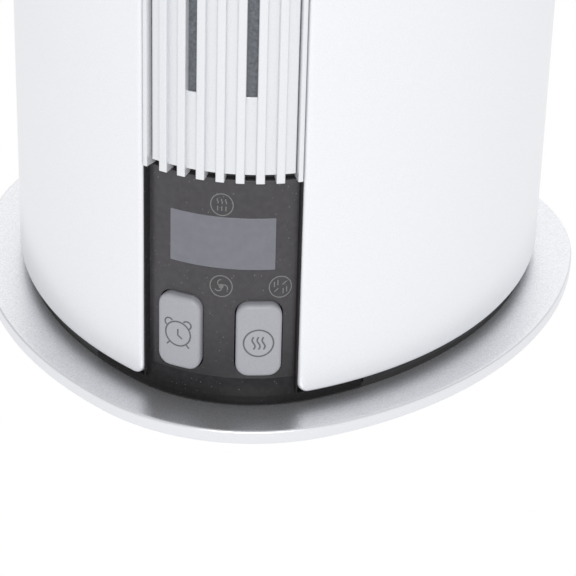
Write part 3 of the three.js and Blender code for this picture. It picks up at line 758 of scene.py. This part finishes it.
def make_back():
    """The rear cover with its openings, and the strip round the handle recess"""
    look = LOOKS["charcoal_matte"]
    s_range = (HALF - COVER_HALF_S, HALF + COVER_HALF_S)
    housing = panel("back_cover", s_range, (SHELL_BOTTOM, COVER_TOP), COVER, look, 0.8, 0.5)
    play = ROCKER["play"]
    openings = [opening(INTAKE["half"], INTAKE["bottom"], INTAKE["top"]),
                opening(ROCKER["half"] + GAP, ROCKER["bottom"] - play, ROCKER["top"] + play)]
    place(cut(housing, openings), "tower", "charcoal_matte", "rear_housing")
    surround = panel("grip_surround", s_range, (COVER_TOP + GAP, SHELL_TOP - GAP), COVER, look, 0.8, 0.5)
    mouth = opening(HANDLE["half"], HANDLE["bottom"], HANDLE["top"], 2.5)
    place(cut(surround, [mouth]), "tower", "charcoal_matte", "handle_surround")


def opening(half, bottom, top, radius=0):
    """A cutter through the rear wall"""
    return block("cutter", (-half, BEHIND[0], bottom), (half, BEHIND[1], top), None, radius)


def make_intake():
    """The intake's slanted slats in their frame"""
    look = LOOKS["black_plastic"]
    low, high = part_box("intake_grille")
    bottom, top = low.z / MM, high.z / MM
    inside = top - bottom - 2 * RAIL
    count = int(inside / SLAT_PITCH)
    pieces = []
    for i in range(count + 1):
        z = bottom + RAIL + inside * i / count
        profile = [(-0.5, z - 1.1), (-0.5, z + 0.3), (-0.9, z + 0.8), (-2.8, z + 1.9), (-2.8, z - 0.2),
                   (-0.9, z - 1.3)]
        pieces.append(sweep("slat", profile, (HALF - SLAT_HALF_S, HALF + SLAT_HALF_S), look))
    for side in (-1, 1):
        middle = HALF + side * 25.9
        pieces.append(panel("stile", (middle - 2, middle + 2), (bottom, top), COVER, look, 1, 0.4))
    for z in (bottom, top - RAIL):
        pieces.append(panel("rail", (HALF - 27.9, HALF + 27.9), (z, z + RAIL), COVER, look, 1, 0.4))
    place(join("intake_louvre", pieces), "intake", "black_plastic", "intake_grille")


def make_rocker():
    """The power rocker's key"""
    low = (-ROCKER["half"], ROCKER["inner"], ROCKER["bottom"])
    high = (ROCKER["half"], ROCKER["face"], ROCKER["top"])
    rocker = block("rocker_key", low, high, LOOKS["black_plastic"], 1)
    place(rocker, "rocker", "black_plastic", "power_rocker")


def make_screws():
    """The four rear screws, with cross slots"""
    for i in range(1, 5):
        low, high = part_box(f"rear_screw_{i}")
        centre = (low + high) / 2 / MM
        front = high.y / MM
        head = [(0.01, -12), (1.7, -12), (1.7, -1.5), (3.2, -1.4), (3.2, -0.7), (2.5, -0.1), (1.6, 0),
                (0.01, 0)]
        screw = turned(f"back_screw_{i}", head, LOOKS["dark_steel"], (0, 0, 0), "Y", 40)
        screw.data.transform(Matrix.Translation(Vector((centre.x, front, centre.z)) * MM))
        cross = [block("cutter", (centre.x - a, front - 0.9, centre.z - b),
                       (centre.x + a, front + 1, centre.z + b), None, 0) for a, b in ((1.5, 0.3), (0.3, 1.5))]
        place(cut(screw, cross), "tower", "dark_steel", f"rear_screw_{i}")


# Inside

def dress_cad():
    """Everything else keeps its CAD mesh, and gets its finish and soft edges."""
    slots = {row["node"]: row["material_slot"] for row in frame["record"]["subparts"]}
    for name, node in frame["nodes"].items():
        if node.hide_render:
            continue
        node.data.materials.clear()
        node.data.materials.append(LOOKS[slots[name]])
        shade(node.data)
        bevel = node.modifiers.new("soft_edges", "BEVEL")
        bevel.width = 0.25 * MM
        bevel.segments = 2
        bevel.limit_method = "ANGLE"
        bevel.angle_limit = SMOOTH_ANGLE


# Room

def make_room():
    """A bright floor that fills the view, even light from all round, and two soft lamps"""
    floor_look = bpy.data.materials.new("floor")
    floor_look.use_nodes = True
    nodes, links = floor_look.node_tree.nodes, floor_look.node_tree.links
    glow = nodes.new("ShaderNodeEmission")
    glow.inputs["Strength"].default_value = 1.0
    links.new(glow.outputs["Emission"], nodes["Material Output"].inputs["Surface"])
    mesh = bpy.data.meshes.new("floor")
    size = 30
    corners = [(-size, -size, 0), (size, -size, 0), (size, size, 0), (-size, size, 0)]
    mesh.from_pydata(corners, [], [(0, 1, 2, 3)])
    mesh.materials.append(floor_look)
    floor = bpy.data.objects.new("floor", mesh)
    bpy.context.scene.collection.objects.link(floor)
    floor.location.z = -0.0003

    world = bpy.data.worlds.new("world")
    world.use_nodes = True
    world.node_tree.nodes["Background"].inputs["Color"].default_value = (1, 1, 1, 1)
    world.node_tree.nodes["Background"].inputs["Strength"].default_value = 0.62
    bpy.context.scene.world = world
    bpy.context.scene.view_settings.view_transform = "Standard"

    add_light("key", (0.36, -1.78, 0.85), 1.0, 17)
    add_light("back", (0.1, 1.4, 0.85), 2.2, 7)


def add_light(name, place_at, size, power):
    """A square lamp that faces the object's foot"""
    data = bpy.data.lights.new(name, "AREA")
    data.size = size
    data.energy = power
    lamp = bpy.data.objects.new(name, data)
    bpy.context.scene.collection.objects.link(lamp)
    lamp.location = place_at
    lamp.visible_camera = False
    lamp.rotation_mode = "QUATERNION"
    lamp.rotation_quaternion = (Vector((0, 0, 0.08)) - lamp.location).to_track_quat("-Z", "Y")


make_camera()
make_foot()
make_shells()
make_skirt()
make_bezel()
make_grille()
make_top()
make_controls()
make_indicators()
make_back()
make_intake()
make_rocker()
make_screws()
dress_cad()
make_room()
